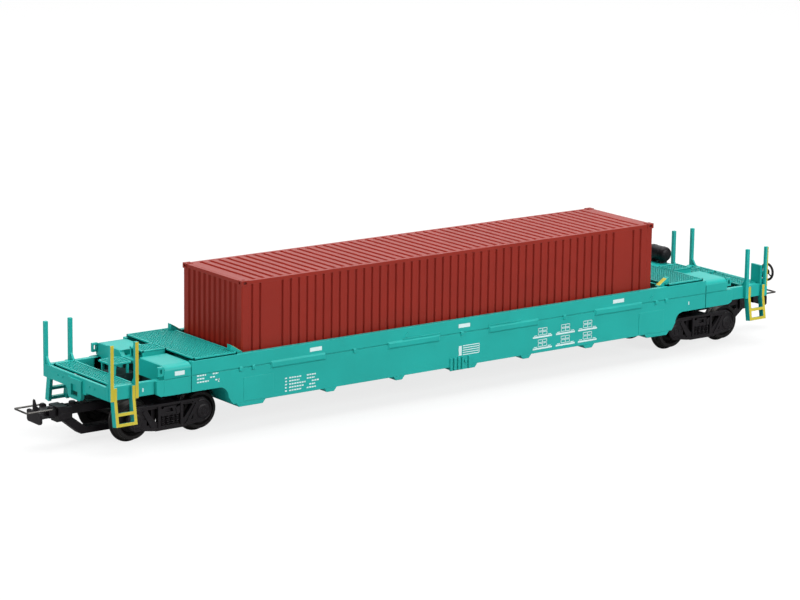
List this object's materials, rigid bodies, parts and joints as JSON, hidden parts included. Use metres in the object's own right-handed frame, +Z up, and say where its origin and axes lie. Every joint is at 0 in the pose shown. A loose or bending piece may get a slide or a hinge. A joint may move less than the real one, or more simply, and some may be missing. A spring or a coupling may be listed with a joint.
{
  "type": "model container well wagon",
  "caption": "Scale model of a railway well wagon on two swivelling bogies, with a lift-out corrugated container lying in its well.",
  "frame": {"origin": "on the floor under the wheel flanges, midway between the two ends and on the middle of the track", "axes": "+X along the wagon towards the end with the hand brake, +Y across the wagon to its left, +Z up"},
  "size_m": [0.257, 0.035, 0.0393],
  "materials": {
    "teal_plastic": "satin moulded plastic",
    "dark_teal_plastic": "satin moulded plastic, in shade",
    "yellow_paint": "satin yellow safety paint",
    "black_plastic": "satin black plastic",
    "wheel_metal": "black wheels, tread rubbed by running",
    "steel_wire": "darkened steel wire",
    "rust_red_plastic": "satin rust-red moulded plastic"
  },
  "bodies": {
    "wagon_body": {"side_wall_left": "teal_plastic", "side_wall_right": "teal_plastic", "well_floor": "dark_teal_plastic", "end_deck_a": "teal_plastic", "end_deck_b": "teal_plastic", "centre_sill_a": "dark_teal_plastic", "centre_sill_b": "dark_teal_plastic", "end_sill_a": "teal_plastic", "end_sill_b": "teal_plastic", "platform_rails_a": "teal_plastic", "platform_rails_b": "teal_plastic", "end_walkway_a": "teal_plastic", "end_walkway_b": "teal_plastic", "well_walkway_a": "teal_plastic", "well_walkway_b": "teal_plastic", "steps_a": "teal_plastic", "steps_b": "teal_plastic", "posts_a": "teal_plastic", "posts_b": "teal_plastic", "ladders_a": "yellow_paint", "ladders_b": "yellow_paint", "container_guides_a": "yellow_paint", "container_guides_b": "yellow_paint", "corner_brackets_a": "teal_plastic", "corner_brackets_b": "teal_plastic", "kingpin_a": "steel_wire", "kingpin_b": "steel_wire", "brake_housing": "teal_plastic", "hand_wheel": "black_plastic", "air_tank": "black_plastic"},
    "container": {"container_floor": "rust_red_plastic", "container_side_left": "rust_red_plastic", "container_side_right": "rust_red_plastic", "container_front": "rust_red_plastic", "container_doors": "rust_red_plastic", "container_roof": "rust_red_plastic", "container_corner_posts": "rust_red_plastic", "door_lock_rods": "rust_red_plastic"},
    "bogie_a": {"bogie_frame_a": "black_plastic", "coupler_a": "black_plastic"},
    "wheels_a_outer": {"wheelset_a_outer": "wheel_metal"},
    "wheels_a_inner": {"wheelset_a_inner": "wheel_metal"},
    "loop_a": {"coupler_loop_a": "steel_wire"},
    "bogie_b": {"bogie_frame_b": "black_plastic", "coupler_b": "black_plastic"},
    "wheels_b_outer": {"wheelset_b_outer": "wheel_metal"},
    "wheels_b_inner": {"wheelset_b_inner": "wheel_metal"},
    "loop_b": {"coupler_loop_b": "steel_wire"}
  },
  "joints": [
    {"name": "container_lift", "type": "slide", "parent": "wagon_body", "child": "container", "axis": [0, 0, 1], "range_m": [0, 0.03]},
    {"name": "bogie_a_swivel", "type": "hinge", "parent": "wagon_body", "child": "bogie_a", "pos_m": [-0.09115, 0, 0.0108], "axis": [0, 0, 1], "range_deg": [-12, 12]},
    {"name": "axle_a_outer", "type": "hinge", "parent": "bogie_a", "child": "wheels_a_outer", "pos_m": [-0.10125, 0, 0.0059], "axis": [0, 1, 0], "continuous": true},
    {"name": "axle_a_inner", "type": "hinge", "parent": "bogie_a", "child": "wheels_a_inner", "pos_m": [-0.08105, 0, 0.0059], "axis": [0, 1, 0], "continuous": true},
    {"name": "coupler_loop_a_lift", "type": "hinge", "parent": "bogie_a", "child": "loop_a", "pos_m": [-0.12065, 0, 0.0102], "axis": [0, 1, 0], "range_deg": [0, 45]},
    {"name": "bogie_b_swivel", "type": "hinge", "parent": "wagon_body", "child": "bogie_b", "pos_m": [0.09115, 0, 0.0108], "axis": [0, 0, 1], "range_deg": [-12, 12]},
    {"name": "axle_b_outer", "type": "hinge", "parent": "bogie_b", "child": "wheels_b_outer", "pos_m": [0.10125, 0, 0.0059], "axis": [0, 1, 0], "continuous": true},
    {"name": "axle_b_inner", "type": "hinge", "parent": "bogie_b", "child": "wheels_b_inner", "pos_m": [0.08105, 0, 0.0059], "axis": [0, 1, 0], "continuous": true},
    {"name": "coupler_loop_b_lift", "type": "hinge", "parent": "bogie_b", "child": "loop_b", "pos_m": [0.12065, 0, 0.0102], "axis": [0, -1, 0], "range_deg": [0, 45]}
  ]
}
